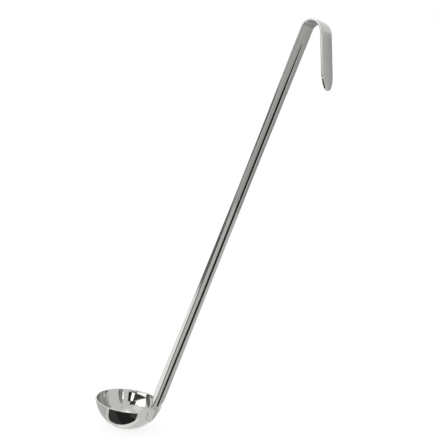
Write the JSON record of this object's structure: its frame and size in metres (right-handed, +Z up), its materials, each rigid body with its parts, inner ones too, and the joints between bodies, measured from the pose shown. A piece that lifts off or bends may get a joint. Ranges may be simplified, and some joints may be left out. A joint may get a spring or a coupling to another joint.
{
  "type": "ladle",
  "caption": "Long-handled serving ladle in polished stainless steel: a small round bowl on a grooved strip handle that ends in a flat hook for hanging.",
  "frame": {"origin": "middle of the small flat under the bowl", "axes": "+Z up, square to the level rim; +X from the bowl towards the handle and the way the hook opens; +Y across the strip"},
  "size_m": [0.1649, 0.0556, 0.341],
  "materials": {
    "polished_steel": "mirror polished stainless steel",
    "handle_steel": "polished stainless steel with faint lengthwise polishing lines",
    "weld_steel": "bare fused stainless steel, inside the joint"
  },
  "bodies": {
    "root": {"bowl": "polished_steel", "handle": "handle_steel", "spot_weld_upper": "weld_steel", "spot_weld_lower": "weld_steel"}
  },
  "joints": []
}
